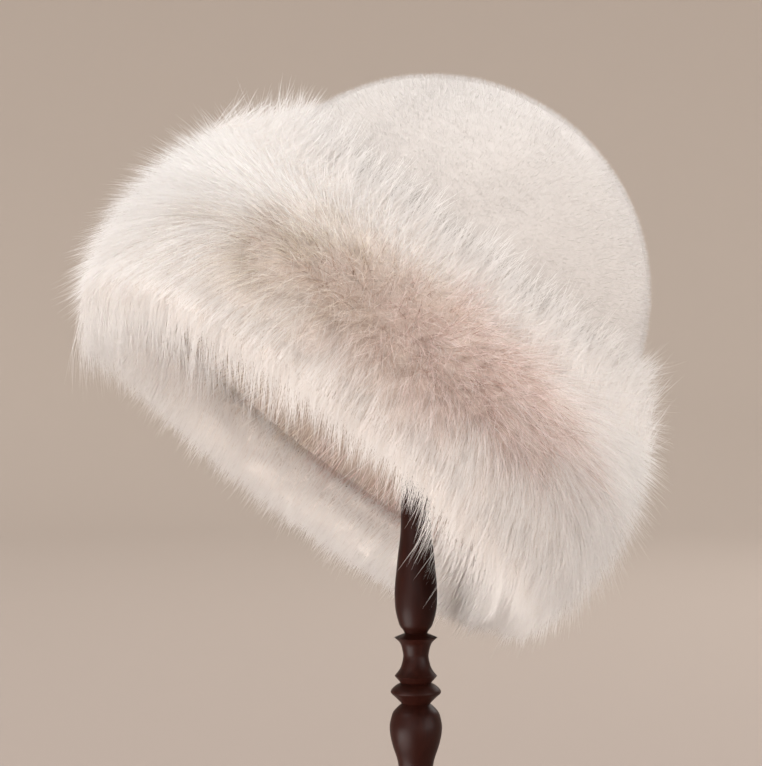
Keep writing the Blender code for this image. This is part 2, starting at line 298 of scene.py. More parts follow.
# Long fox hair: cream white, a little warmer at its roots, with a soft satin gloss on each hair.
# Light passes on from hair to hair, so part of it is translucent and the shadows stay pale.
# In the patch each hair is taupe towards its root with a light tip, which gives the eye a fine grain.
def makeHair(name, spread, through, whiteStops, taupeStops):
    material, tree, shader = newMaterial(name)
    along = addNode(tree, "ShaderNodeAttribute", attribute_name="along").outputs["Fac"]
    inPatch = addNode(tree, "ShaderNodeAttribute", attribute_name="inPatch").outputs["Fac"]
    tone = addNode(tree, "ShaderNodeAttribute", attribute_name="tone").outputs["Fac"]
    white = addRamp(tree, along, whiteStops)
    place = addNode(tree, "ShaderNodeTexCoord").outputs["Object"]
    drifts = addNode(tree, "ShaderNodeTexNoise", {"Vector": place, "Scale": 70.0, "Detail": 2.0})
    pink = addNode(tree, "ShaderNodeAttribute", attribute_name="pink").outputs["Fac"]
    toPink = addNode(tree, "ShaderNodeMath", {0: drifts.outputs["Fac"], 1: pink}, operation="ADD")
    # olive tan drifts into pink
    tint = addRamp(tree, toPink.outputs[0], ((0.40, "F8F6EA"), (0.95, "FFF3F2")))
    taupe = mixColours(tree, 1.0, addRamp(tree, along, taupeStops), tint, "MULTIPLY")
    # half of the hairs are darker
    grain = addRamp(tree, tone, ((0.0, "BBABA0"), (0.38, "E9E0D9"), (0.56, "FFFFFF")))
    taupe = mixColours(tree, 1.0, taupe, grain, "MULTIPLY")
    colour = mixColours(tree, inPatch, white, taupe)
    shade = addNode(tree, "ShaderNodeMapRange", {"Value": tone, "To Min": 1.0 - spread, "To Max": 1.0})
    level = shade.outputs[0]
    grey = addNode(tree, "ShaderNodeCombineColor", {"Red": level, "Green": level, "Blue": level})
    colour = mixColours(tree, 1.0, colour, grey.outputs[0], "MULTIPLY")
    tree.links.new(colour, shader.inputs["Base Color"])
    shader.inputs["Roughness"].default_value = 0.62
    shader.inputs["Specular IOR Level"].default_value = 0.25
    glow = addNode(tree, "ShaderNodeBsdfTranslucent", {"Color": colour})
    both = addNode(tree, "ShaderNodeMixShader", {0: through, 1: shader.outputs[0], 2: glow.outputs[0]})
    tree.links.new(both.outputs[0], tree.nodes["Material Output"].inputs["Surface"])
    return material


# Underfur: matted down that shows between the hairs, woolly and matte. Its white is painted a little darker
# than the hair as painted shade deep between the hairs; its taupe in the patch is its own colour.
def makeShadedUnderfur():
    material, tree, shader = newMaterial("down underfur with painted shade")
    place = addNode(tree, "ShaderNodeTexCoord").outputs["Object"]
    inPatch = addNode(tree, "ShaderNodeAttribute", attribute_name="inPatch").outputs["Fac"]
    fluff = addNode(
        tree, "ShaderNodeTexNoise",
        {"Vector": place, "Scale": 260.0, "Detail": 5.0, "Roughness": 0.7}).outputs["Fac"]
    # white kept below the hair's white: painted shade between the hairs
    white = addRamp(tree, fluff, ((0.3, "DFD7D1"), (0.7, "EBE5E0")))
    taupe = addRamp(tree, fluff, ((0.3, "D4C6BC"), (0.7, "E3D7CF")))
    tree.links.new(mixColours(tree, inPatch, white, taupe), shader.inputs["Base Color"])
    shader.inputs["Roughness"].default_value = 0.95
    shader.inputs["Specular IOR Level"].default_value = 0.1
    bump = addNode(tree, "ShaderNodeBump", {"Height": fluff, "Strength": 0.8, "Distance": 2.5 * mm})
    tree.links.new(bump.outputs[0], shader.inputs["Normal"])
    return material


foxHair = makeHair(
    "fox hair", 0.06, 0.62,
    ((0.0, "F8F3EF"), (0.45, "FCFAF8"), (1.0, "FEFDFC")),
    ((0.0, "E1D5CD"), (0.35, "F6EEE9"), (0.65, "FFFCFA"), (1.0, "FFFFFE")),
)
shearedHair = makeHair(
    "sheared plush hair", 0.03, 0.5,
    ((0.0, "E5E1DE"), (1.0, "F0EDEB")),
    ((0.0, "E5E1DE"), (1.0, "F0EDEB")),
)
underfur = makeShadedUnderfur()


# The cuff's underfur: a closed ring of lumpy down, six tenths of the hair's depth at the top and four
# tenths inside the rim

down = dict(
    places=(0, 0.9, 1.1, 1.4, 2.0, 2.4, 2.9),
    shares=(0.62, 0.55, 0.52, 0.44, 0.42, 0.38, 0.10),  # of the hair's depth
    lump=1.1 * mm,
    rowStep=3,
    columnStep=3,
)


# pelt plus a share of the hair's depth, plus soft noise along the outward way that fades at both edges
def buildUnderfur():
    pelt = cuffPelt[:: down["rowStep"], :: down["columnStep"]]
    outer = cuffOuter[:: down["rowStep"], :: down["columnStep"]]
    out = cuffOut[:: down["rowStep"], :: down["columnStep"]]
    share = np.interp(cuffAlong[:: down["rowStep"]], down["places"], down["shares"])[:, None, None]
    skin = pelt + (outer - pelt) * share
    lumps = softNoise(skin, 14 * mm, 11) + 0.6 * softNoise(skin, 6 * mm, 12)
    fade = np.sin(np.linspace(0, math.pi, len(skin)))[:, None, None] ** 0.3
    skin = skin + out * (lumps[..., None] * down["lump"] * fade)
    loop = np.concatenate([skin, pelt[::-3]], 0)  # out along the down and back along the pelt
    rows, columns = loop.shape[:2]
    points = loop.reshape(-1, 3)
    marks = dict(inPatch=patchShare(points))
    faces = gridFaces(rows, columns, closeRows=True)
    piece = addMesh("fur_underfur", points, faces[:, ::-1], underfur, marks)
    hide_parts("fur_cuff")
    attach(piece, "root")
    print("underfur", len(faces) * 2, "triangles")


# The cuff's hair

hair = dict(
    seed=21,
    clump=3.4 * mm,  # spacing of the small locks that the tips gather into
    droop=0.16,  # how far a tip sinks, as a share of its length
    combPlaces=(0, 0.30, 0.50, 0.80, 1.10, 1.50, 2.0, 2.9),
    combShares=(0, 0.05, 0.22, 0.62, 0.80, 0.55, 0.3, 0.1),  # how much the hair is combed towards the rim
    shown=23.0 * mm,  # the length that stands out of the down
    shortest=10.0 * mm,
    underTurn=1.5,  # how far the hair under the rim turns down along the hat's axis
    underDepth=0.36,  # where that hair starts, as a share of the fur's depth
    underLength=11.0 * mm,
    nearDepth=0.55,  # how much deeper it starts at the near side
    wander=0.10,  # slow drifts of the hair's way, and their length
    wanderLength=26 * mm,
    edgeStray=2.2,  # how much more the hairs stray inside the rim, and in the patch
    patchStray=1.6,
    most=1.6,  # no hair strays further than this many deviations
    lockLength=7 * mm,  # drifts of the locks' tips
    lockDrift=1.2 * mm,
    bend=1.7,  # a hair keeps its way at the root and bends towards its tip
)


# evenly scattered places on the cuff: grid row, grid column and the shares between them
def scatter(count, rng, weight):
    downEdge = cuffOuter[1:] - cuffOuter[:-1]
    rightEdge = np.roll(cuffOuter, -1, 1) - cuffOuter
    area = np.linalg.norm(np.cross(downEdge, rightEdge[:-1]), axis=-1)
    area = area * weight[:-1, None]
    total = np.cumsum(area.ravel())
    picks = (np.arange(count) + rng.random(count)) / count * total[-1]
    cell = np.clip(np.searchsorted(total, picks), 0, area.size - 1)
    order = rng.permutation(count)  # so that any run of hairs covers the whole cuff
    cell = cell[order]
    return cell // area.shape[1], cell % area.shape[1], rng.random(count), rng.random(count)


# a grid's value between four of its points, by the shares down and across
def gridValue(grid, row, column, downShare, rightShare):
    nextColumn = (column + 1) % grid.shape[1]
    a, b = downShare[:, None], rightShare[:, None]
    upper = grid[row, column] * (1 - b) + grid[row, nextColumn] * b
    lower = grid[row + 1, column] * (1 - b) + grid[row + 1, nextColumn] * b
    return upper * (1 - a) + lower * a


# the nearest of the jittered lock centres round each hair, as grid places
def lockCentres(row, column, downShare, rightShare, rng):
    spacing = hair["clump"]
    lengths = np.linalg.norm(np.diff(cuffOuter[:, 0], axis=0), axis=-1)
    depthAt = np.concatenate([[0], np.cumsum(lengths)])
    girth = np.linalg.norm(np.roll(cuffOuter, -1, 1) - cuffOuter, axis=-1).sum(1).mean()
    bands, sides = int(depthAt[-1] / spacing), int(girth / spacing)
    place = np.interp(row + downShare, np.arange(len(depthAt)), depthAt) / depthAt[-1] * bands
    turn = (column + rightShare) / cuff["columns"] * sides
    jitter = rng.uniform(-0.45, 0.45, size=(bands + 3, sides, 2))
    best = np.full(len(row), np.inf)
    centre = np.zeros((len(row), 2))
    for i in (-1, 0, 1):
        for j in (-1, 0, 1):
            band = np.clip(np.floor(place).astype(int) + i, 0, bands)
            side = (np.floor(turn).astype(int) + j) % sides
            own = np.stack([band + 0.5, np.floor(turn) + j + 0.5], -1) + jitter[band, side]
            away = (own[:, 0] - place) ** 2 + (own[:, 1] - turn) ** 2
            nearer = away < best
            best = np.where(nearer, away, best)
            centre = np.where(nearer[:, None], own, centre)
    along = np.interp(np.clip(centre[:, 0] / bands, 0, 1) * depthAt[-1], depthAt, np.arange(len(depthAt)))
    turnAt = (centre[:, 1] / sides * cuff["columns"]) % cuff["columns"]
    row = np.clip(along.astype(int), 0, len(depthAt) - 2)
    column = turnAt.astype(int) % cuff["columns"]
    return row, column, along - row, turnAt - np.floor(turnAt)


# where each hair starts, its way and how far it reaches: it follows the line from pelt to outline,
# and under the rim it turns down along the hat's axis
def hairLine(row, column, downShare, rightShare):
    pelt = gridValue(cuffPelt, row, column, downShare, rightShare)
    outer = gridValue(cuffOuter, row, column, downShare, rightShare)
    along = np.interp(row + downShare, np.arange(len(cuffAlong)), cuffAlong)
    reach = np.linalg.norm(outer - pelt, axis=-1, keepdims=True)
    way = (outer - pelt) / reach
    shown = np.minimum(reach, hair["shown"])
    under = between(1.15, 1.7, along) * (1 - between(2.6, 2.9, along))
    way = unit(way - hatAxes[2] * (hair["underTurn"] * under)[:, None])
    comb = -hatAxes[2] + way * (way @ hatAxes[2])[:, None]
    comb = comb * np.interp(along, hair["combPlaces"], hair["combShares"])[:, None]
    start = outer - (way + comb) * shown
    middle = outer - np.array(hat["centre"])
    radial = unit(middle - (middle @ hatAxes[2])[:, None] * hatAxes[2])
    # at the near side it starts deeper, so that the pale locks hang over it
    deep = hair["underDepth"] - hair["nearDepth"] * between(0.1, 0.7, -radial[:, 1])
    start = start + (pelt + (outer - pelt) * deep[:, None] - start) * under[:, None]
    shown = shown * (1 - under[:, None]) + hair["underLength"] * under[:, None]
    # the shading's outward way: less downward, and straight out at the upper edge and under the rim
    out = gridValue(cuffOut, row, column, downShare, rightShare)
    out = unit(out + hatAxes[2] * (0.85 * np.clip(-(out @ hatAxes[2]), 0, 1))[:, None])
    upperShare = 0.9 * (1 - between(0.0, 0.35, along))
    rimShare = 1.3 * between(0.95, 1.15, along) * (1 - between(1.7, 2.0, along))
    out = unit(out + radial * (upperShare + rimShare)[:, None])
    return start, way, comb, shown, out, along


# centre lines of hairs, (count, steps, 3): straight out, then sinking by gravity and drawn into locks
def hairCurves(count, seed, steps, extra, spreadOut, pull, weight):
    rng = np.random.default_rng(seed)
    spot = scatter(count, rng, weight)
    start, way, comb, reach, out, along = hairLine(*spot)
    lock = lockCentres(*spot, np.random.default_rng(hair["seed"]))
    lockStart, lockWay, lockComb, lockReach, _, _ = hairLine(*lock)
    length = reach + extra(rng, along)[:, None]
    length = np.maximum(length, hair["shortest"])
    share = patchShare(start + (way + comb) * reach)
    comb = comb * (1 - 0.6 * share)[:, None]
    start = start + comb * reach * (0.6 * share / (1 - 0.6 * share))[:, None]
    stray = 1 + hair["edgeStray"] * between(2.4, 2.8, along)[:, None] + hair["patchStray"] * share[:, None]
    fall = np.array([0.0, 0.0, -1.0])
    sink = fall - way * (way @ fall)[:, None]
    slow = [softNoise(start, hair["wanderLength"], seed % 7 + k) for k in range(3)]
    wander = np.stack(slow, -1) * hair["wander"]
    wander += rng.normal(size=(count, 3)).clip(-hair["most"], hair["most"]) * spreadOut * stray
    droop = hair["droop"] * (1 + 0.3 * rng.normal(size=(count, 1)))
    tip = start + (way + comb + wander + sink * droop) * length
    lockTip = lockStart + (lockWay + lockComb) * (lockReach + (length - reach)) + sink * droop * length
    drift = np.stack([softNoise(lockStart, hair["lockLength"], 31 + k) for k in range(3)], -1)
    lockTip += drift * hair["lockDrift"]
    tip = tip + (lockTip - tip) * pull * (1 - 0.5 * share[:, None])
    t = np.linspace(0, 1, steps)[None, :, None]
    line = start[:, None] + (way * length)[:, None] * t
    bend = (tip - start - way * length)[:, None] * t ** hair["bend"]
    curve = line + bend
    tone = rng.random(count)
    share = np.clip(share + 0.25 * rng.normal(size=count) * np.sqrt(share), 0, 1)
    return curve, out, tone, share, rng


# places in the bake map: each hair has a small cell of its own
def cellMap(count, order, across, upward):
    side = int(math.ceil(math.sqrt(count / 6.0)))  # cells are six times taller than wide
    wide, tall = side * 6, side
    index = np.arange(count)
    left, low = (index % wide) / wide, (index // wide) / tall
    u = left[:, None] + (0.15 + 0.7 * across[None]) / wide
    v = low[:, None] + (0.06 + 0.88 * upward[None]) / tall
    return np.stack([u, v], -1)[:, order]


# flat hairs: a tapering ribbon of quads with a pointed end, turned at random round its own line
def addRibbons(name, curve, out, tone, share, rng, width, roll, soften, material=foxHair):
    count, steps = curve.shape[:2]
    way = unit(curve[:, -1] - curve[:, 0])
    side = unit(np.cross(way, out))
    face = np.cross(side, way)
    face *= np.sign((face * out).sum(-1, keepdims=True) + 1e-9)
    angle = rng.normal(0, roll, (count, 1)).clip(-1.4, 1.4)
    face = face * np.cos(angle) + np.cross(way, face) * np.sin(angle)
    side = np.cross(face, way)
    t = np.linspace(0, 1, steps)
    half = width * 0.5 * (1 - 0.75 * t[:-1] ** 1.5) * rng.uniform(0.7, 1.2, (count, 1))
    left = curve[:, :-1] - side[:, None] * half[..., None]
    right = curve[:, :-1] + side[:, None] * half[..., None]
    points = np.concatenate([np.stack([left, right], 2).reshape(count, -1, 3), curve[:, -1:]], 1)
    size = points.shape[1]
    corners = []
    for k in range(steps - 2):
        a = 2 * k
        corners += [(a, a + 1, a + 3), (a, a + 3, a + 2)]
    corners += [(size - 3, size - 2, size - 1)]
    corners = np.array(corners)
    faces = (np.arange(count)[:, None, None] * size + corners[None]).reshape(-1, 3)
    first = points[:, corners[0]]
    turned = (np.cross(first[:, 1] - first[:, 0], first[:, 2] - first[:, 0]) * face).sum(-1) < 0
    faces = faces.reshape(count, -1, 3)
    faces[turned] = faces[turned][..., ::-1]
    normals = unit(out * soften + face * (1 - soften))
    alongPoint = np.append(np.repeat(t[:-1], 2), 1.0)
    across = np.append(np.tile((0.0, 1.0), steps - 1), 0.5)
    cells = cellMap(count, np.arange(size), across, alongPoint)
    uv = np.take_along_axis(
        np.repeat(cells[:, None], faces.shape[1], 1),
        (faces - np.arange(count)[:, None, None] * size)[..., None].repeat(2, -1), 2)
    marks = dict(
        along=np.broadcast_to(alongPoint, (count, size)).ravel(),
        inPatch=np.repeat(share, size),
        tone=np.repeat(tone, size),
        pink=np.repeat(0.6 * between(-30, 25, patchPlace(curve[:, 0])[0]), size),
    )
    spread = np.repeat(normals, size, 0)
    points, faces, uv = points.reshape(-1, 3), faces.reshape(-1, 3), uv.reshape(-1, 2)
    return addMesh(name, points, faces, material, marks, spread, uv)


def finishHair(piece, stage):
    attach(piece, "root")
    print(stage, len(piece.data.polygons), "triangles")


# the dense coat: most hairs end near the outline, a few fall short
def coatExtra(rng, along):
    return rng.normal(-0.5 * mm, 2.4 * mm, len(along)).clip(-6 * mm, 5 * mm)


# guard hairs stand past the coat, furthest at the upper edge
def guardExtra(rng, along):
    far = np.interp(along, (0, 0.12, 0.3, 0.9, 1.2, 2.0, 2.9), (13, 9, 4.2, 3.2, 4, 4, 3))
    return (rng.beta(1.6, 2.4, len(along)) * far * 1.6 + 1.5) * mm


# hairs and seed, places along the pelt and how thickly they stand there, how far they stray and how
# much they are drawn into locks, their width, how far they turn and how soft their shading is
coat = dict(
    parts=4, hairs=24500, seed=100,
    places=(0, 0.1, 0.3, 0.9, 1.1, 2.3, 2.9), shares=(1.4, 1.2, 1.0, 1.0, 2.1, 2.1, 2.1),
    stray=0.12, pull=0.42, width=0.33 * mm, roll=0.95, soften=0.85,
)
guard = dict(
    hairs=20000, seed=200,
    places=(0, 0.15, 0.3, 0.8, 1.1, 2.0, 2.9), shares=(3.0, 2.2, 0.9, 0.9, 1.5, 1.5, 1.0),
    stray=0.15, pull=0.15, width=0.27 * mm, roll=0.9, soften=0.85, taupe=0.8,
)
hairSteps = 4


def buildCuffHair():
    weight = np.interp(cuffAlong, coat["places"], coat["shares"])
    for part in range(coat["parts"]):
        curve, out, tone, share, rng = hairCurves(
            coat["hairs"], coat["seed"] + part, hairSteps, coatExtra, coat["stray"], coat["pull"], weight)
        piece = addRibbons(
            "fur_coat_%d" % part, curve, out, tone, share, rng, coat["width"], coat["roll"], coat["soften"])
        finishHair(piece, "coat")
    weight = np.interp(cuffAlong, guard["places"], guard["shares"])
    curve, out, tone, share, rng = hairCurves(
        guard["hairs"], guard["seed"], hairSteps, guardExtra, guard["stray"], guard["pull"], weight)
    share = share * guard["taupe"]
    piece = addRibbons(
        "fur_guard_hair", curve, out, tone, share, rng, guard["width"], guard["roll"], guard["soften"])
    finishHair(piece, "guard hair")


# Loose hairs along the cuff's edges. They start at a share of the fur's depth; their way is given in
# shares of out, up the hat and the world's down. gather below 1 crowds them towards their high end.
# around is their length as a share, by the angle in degrees from the hat's right: the front is at -90
# and the back at 90.
edges = dict(
    inner=dict(
        # the inner fringe takes the patch's taupe, strongest deepest inside the hat: painted shade there
        name="fur_inner_fringe", hairs=8000, low=2.20, high=2.88, gather=1.0, depth=0.2, seed=301,
        length=27.0 * mm, width=0.42 * mm, outward=-0.26, rise=0.95, fall=0.0, bow=0.05, lean=0.10,
        tuft=0.20, spread=0.20, face=(-1.0, -0.3), lock=1, pull=0.0, taupe=1.0,
        around=((-180, 1.0), (180, 1.0)),
    ),
    upper=dict(
        name="fur_upper_wisps", hairs=14000, low=0.0, high=0.30, gather=1.0, depth=0.7, seed=302,
        length=21.0 * mm, width=0.30 * mm, outward=0.10, rise=1.0, fall=0.0, bow=0.0, lean=-0.45,
        tuft=0.18, spread=0.25, face=(1.0, 0.15), lock=9, pull=0.25, taupe=0.0,
        around=((-180, 1.0), (180, 1.0)),
    ),
    lower=dict(
        name="fur_lower_locks", hairs=12000, low=0.40, high=1.22, gather=0.5, depth=0.55, seed=303,
        length=25.0 * mm, width=0.27 * mm, outward=0.12, rise=-0.32, fall=0.85, bow=-0.26, lean=0.0,
        tuft=0.12, spread=0.12, face=(1.0, -0.12), lock=14, pull=0.5, taupe=0.0,
        around=((-180, 1.3), (-150, 1.4), (-120, 1.1), (-95, 1.0), (-80, 0.75), (-72, 0.85), (-62, 1.4),
                (-52, 1.5), (-42, 1.2), (-30, 0.85), (-15, 0.55), (5, 0.45), (45, 0.35), (90, 0.3),
                (130, 0.4), (155, 0.9), (180, 1.4)),
    ),
)


# each hair is a parabola: its straight way times t, and its bow and its lock's pull times t squared
def buildEdge(edge):
    rng = np.random.default_rng(edge["seed"])
    count = edge["hairs"]
    turn = (np.arange(count) + rng.random(count)) / count
    along = edge["low"] + (edge["high"] - edge["low"]) * rng.random(count) ** edge["gather"]
    # the same spot on the cuff's grid
    place = np.interp(along, cuffAlong, np.arange(len(cuffAlong)))
    row = np.clip(place.astype(int), 0, len(cuffAlong) - 2)
    column = (turn * cuff["columns"]).astype(int) % cuff["columns"]
    spot = (row, column, place - row, turn * cuff["columns"] % 1)
    pelt, outer = gridValue(cuffPelt, *spot), gridValue(cuffOuter, *spot)
    start = pelt + (outer - pelt) * (edge["depth"] * rng.uniform(0.6, 1.35, (count, 1)))
    angle = turn * 2 * math.pi
    ring = toWorldWay(np.stack([np.cos(angle), np.sin(angle), np.zeros(count)], -1))
    up = hatAxes[2]
    # the higher up the fur's shoulder a hair starts, the more it leans
    outward = edge["outward"] + edge["lean"] * (along - edge["low"]) / (edge["high"] - edge["low"])
    tuft = np.stack([softNoise(start, 9 * mm, edge["seed"] + k) for k in range(3)], -1) * edge["tuft"]
    way = ring * outward[:, None] + up * edge["rise"] - np.array([0.0, 0.0, 1.0]) * edge["fall"] + tuft
    way = unit(way + rng.normal(size=(count, 3)) * edge["spread"])
    places, shares = np.array(edge["around"]).T
    reach = np.interp((np.degrees(angle) + 180) % 360 - 180, places, shares)
    reach = reach * (1 + 0.2 * softNoise(start, 16 * mm, edge["seed"] + 5)).clip(0.6, 1.25)
    length = edge["length"] * reach[:, None] * (0.5 + 0.65 * rng.beta(2.0, 2.0, (count, 1)))
    end = way * length + ring * edge["bow"] * length
    # the tips of neighbouring hairs are drawn together sideways into pointed locks
    leader = np.arange(count) // edge["lock"] * edge["lock"]
    drawn = start[leader] + end[leader] - start - end
    drawn -= way * (drawn * way).sum(-1, keepdims=True)
    drawn *= np.minimum(1, 5 * mm / np.maximum(np.linalg.norm(drawn, axis=-1, keepdims=True), 1e-9))
    t = np.linspace(0, 1, hairSteps)[None, :, None]
    bend = end - way * length + drawn * edge["pull"]
    curve = start[:, None] + (way * length)[:, None] * t + bend[:, None] * t ** 2
    out = unit(ring * edge["face"][0] + up * edge["face"][1])
    tone = rng.random(count)
    # the patch's taupe rises towards the high end; on the inner fringe this is painted shade inside the hat
    share = edge["taupe"] * (along - edge["low"]) / (edge["high"] - edge["low"])
    piece = addRibbons(edge["name"], curve, out, tone, share, rng, edge["width"], 0.8, 0.85)
    finishHair(piece, edge["name"])


buildUnderfur()
buildCuffHair()
for edge in edges.values():
    buildEdge(edge)


# The crown: a dome of short plush, with its skirt going down inside the cuff

plush = dict(
    radius=98.4 * mm, inner=91.0 * mm, skirt=24.0 * mm, columns=120,
    pile=3.4 * mm, hairs=115000, hairWidth=0.13 * mm,
)


# Short sheared plush: white with a faint warm shade between the tufts, velvety at grazing angles
def makePlush():
    material, tree, shader = newMaterial("sheared plush")
    place = addNode(tree, "ShaderNodeTexCoord").outputs["Object"]
    tufts = addNode(
        tree, "ShaderNodeTexNoise",
        {"Vector": place, "Scale": 420.0, "Detail": 6.0, "Roughness": 0.65}).outputs["Fac"]
    clouds = addNode(tree, "ShaderNodeTexNoise", {"Vector": place, "Scale": 38.0, "Detail": 3.0})
    colour = addRamp(tree, tufts, ((0.25, "B5B0AC"), (0.62, "C1BDB9")))
    colour = mixColours(tree, clouds.outputs["Fac"], colour, hexColour("BDB8B4"), "MIX")
    tree.links.new(colour, shader.inputs["Base Color"])
    shader.inputs["Roughness"].default_value = 0.9
    shader.inputs["Specular IOR Level"].default_value = 0.15
    shader.inputs["Sheen Weight"].default_value = 0.5
    shader.inputs["Sheen Roughness"].default_value = 0.5
    bump = addNode(tree, "ShaderNodeBump", {"Height": tufts, "Strength": 0.15, "Distance": 0.8 * mm})
    tree.links.new(bump.outputs[0], shader.inputs["Normal"])
    return material


sheared = makePlush()


# a closed dome wall: outside from the apex down a quarter circle and a straight skirt, then inside back up
def buildCrown():
    up = np.linspace(0, math.pi / 2, 61)
    upInside = up[::-3]
    skirtRows = np.linspace(0, plush["skirt"], 10)[1:]
    radius = np.concatenate([
        plush["radius"] * np.sin(up), np.full(9, plush["radius"]),
        np.full(3, plush["inner"]), plush["inner"] * np.sin(upInside),
    ])[1:-1]
    height = np.concatenate([
        plush["radius"] * np.cos(up), -skirtRows,
        -skirtRows[::-4], plush["inner"] * np.cos(upInside),
    ])[1:-1]
    local = spin(radius, height, plush["columns"])
    local[:60] += unit(local[:60]) * (softNoise(local[:60], 45 * mm, 41) * 0.3 * mm)[..., None]
    points = np.concatenate([local.reshape(-1, 3), [(0, 0, plush["radius"]), (0, 0, plush["inner"])]])
    faces = closedFaces(len(radius), plush["columns"], downwards=True)
    piece = addMesh("crown_plush", toWorld(points), faces, sheared)
    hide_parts("crown")
    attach(piece, "root")
    print("crown", len(piece.data.polygons), "triangles")


# short hairs over the dome, combed down from the apex with a little swirl
def buildPile():
    rng = np.random.default_rng(61)
    count = plush["hairs"]
    height = 1 - (np.arange(count) + rng.random(count)) / count * 1.12  # to a little below the widest ring
    turn = rng.random(count) * 2 * math.pi
    ring = np.sqrt(np.clip(1 - height ** 2, 0, None))
    out = np.stack([ring * np.cos(turn), ring * np.sin(turn), height], -1)
    comb = unit(np.cross(out, np.cross(out, np.array([0.0, 0.0, 1.0]))) + 1e-6)
    start = out * (plush["radius"] - 0.4 * mm)
    swirl = np.stack([softNoise(start, 40 * mm, 71 + k) for k in range(3)], -1)
    lean = comb * 0.22 + swirl * 0.15 + rng.normal(size=(count, 3)) * 0.18
    lean -= out * (lean * out).sum(-1, keepdims=True)
    way = unit(out + lean)
    length = plush["pile"] * rng.uniform(0.75, 1.15, (count, 1))
    t = np.array([0.0, 1.0])[None, :, None]
    curve = start[:, None] + (way * length)[:, None] * t
    curve, out = toWorld(curve), toWorldWay(out)
    tone = rng.random(count)
    share = np.zeros(count)
    piece = addRibbons(
        "crown_pile", curve, out, tone, share, rng, plush["hairWidth"], 0.8, 1.0, shearedHair)
    finishHair(piece, "pile")


buildCrown()
buildPile()


# The lining: thin cloth inside the crown and the brim

liner = dict(gap=0.3 * mm, wall=1.3 * mm, columns=120, end=-72.0 * mm, gather=0.35 * mm)


# Brushed cloth in a warm beige, with a short nap that hides its weave. The beige is painted darker than the
# cloth itself, as painted shade for the inside of the hat.
def makeShadedLiningCloth():
    material, tree, shader = newMaterial("brushed lining cloth with painted shade")
    place = addNode(tree, "ShaderNodeTexCoord").outputs["Object"]
    nap = addNode(
        tree, "ShaderNodeTexNoise",
        {"Vector": place, "Scale": 900.0, "Detail": 4.0, "Roughness": 0.7}).outputs["Fac"]
    # darker beige than the cloth: painted shade inside the hat
    colour = addRamp(tree, nap, ((0.3, "9C8A7D"), (0.7, "B5A497")))
    tree.links.new(colour, shader.inputs["Base Color"])
    shader.inputs["Roughness"].default_value = 0.85
    shader.inputs["Sheen Weight"].default_value = 0.3
    bump = addNode(tree, "ShaderNodeBump", {"Height": nap, "Strength": 0.4, "Distance": 0.5 * mm})
    tree.links.new(bump.outputs[0], shader.inputs["Normal"])
    return material


shadedLiningCloth = makeShadedLiningCloth()


# the lining follows the dome and the brim inside: its radius is theirs, less a gap, and on its inner
# face less two sines round the hat, which make soft gathers that fade towards the apex
def buildLining():
    up = np.linspace(0, math.pi / 2, 31)
    heights = np.linspace(0, liner["end"], 31)[1:]
    outerRadius = cuff["crownInner"] - liner["gap"]
    innerRadius = outerRadius - liner["wall"]
    brim = brimInside(heights) - liner["gap"]
    outR = np.concatenate([outerRadius * np.sin(up), brim])[1:]
    outH = np.concatenate([outerRadius * np.cos(up), heights])[1:]
    inR = np.concatenate([innerRadius * np.sin(up), brim - liner["wall"]])[1:]
    inH = np.concatenate([innerRadius * np.cos(up), heights])[1:]
    turn = np.arange(liner["columns"]) * 2 * math.pi / liner["columns"]
    ripple = np.sin(turn * 17 + 1.3 * np.sin(turn * 5)) * 0.5 + np.sin(turn * 41 + 2) * 0.3
    gathers = liner["gather"] * (1 + ripple[None]) * between(8, 30, np.arange(len(inR)))[:, None]
    inGrid = np.repeat(inR[:, None], len(turn), 1) - gathers
    radius = np.concatenate([np.repeat(outR[:, None], len(turn), 1), inGrid[::-1]])
    local = spin(radius, np.concatenate([outH, inH[::-1]]), liner["columns"])
    points = np.concatenate([local.reshape(-1, 3), [(0, 0, outerRadius), (0, 0, innerRadius)]])
    faces = closedFaces(len(radius), liner["columns"], downwards=True)
    piece = addMesh("lining_cloth", toWorld(points), faces, shadedLiningCloth)
    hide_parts("lining")
    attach(piece, "root")
    print("lining", len(piece.data.polygons), "triangles")


buildLining()


# The stand

stand = dict(
    length=328.42 * mm, foot=50.3 * mm, radius=12.1 * mm, sides=64,
    # height and radius as shares, and 1 where the turner's tool left a crisp edge
    post=(
        (0.000, 0.74, 1), (0.010, 0.86, 0), (0.022, 0.90, 0), (0.034, 0.80, 0), (0.040, 0.50, 1),
        (0.070, 0.46, 0), (0.115, 0.49, 0), (0.152, 0.57, 0), (0.182, 0.67, 0), (0.194, 0.75, 0),
        (0.207, 0.87, 0), (0.220, 0.96, 0), (0.232, 1.00, 0), (0.242, 0.98, 0), (0.255, 0.88, 0),
        (0.263, 0.70, 0), (0.268, 0.54, 1), (0.277, 0.78, 0), (0.282, 0.93, 0), (0.285, 0.96, 0),
        (0.289, 0.90, 0), (0.294, 0.74, 0), (0.297, 0.58, 1),
        (0.307, 0.81, 1), (0.313, 0.68, 0), (0.320, 0.57, 0), (0.332, 0.49, 0), (0.340, 0.50, 0),
        (0.353, 0.60, 0), (0.361, 0.82, 1), (0.367, 0.43, 1), (0.372, 0.50, 0), (0.378, 0.62, 0),
        (0.391, 0.73, 0), (0.403, 0.79, 0), (0.416, 0.81, 0), (0.430, 0.81, 0), (0.455, 0.75, 0),
        (0.480, 0.68, 0), (0.505, 0.60, 0), (0.545, 0.57, 0), (0.700, 0.52, 0), (1.000, 0.50, 1),
    ),
    headCurve=60.0 * mm, headRadius=46.0 * mm, headEdge=6.0 * mm, headTop=414.5 * mm,
    bossRadius=11.0 * mm, boss=8.0 * mm,
    baseRadius=85.0 * mm, baseEdge=12.0 * mm, baseBoss=10.0 * mm, baseHeight=50.0 * mm, baseSides=128,
)


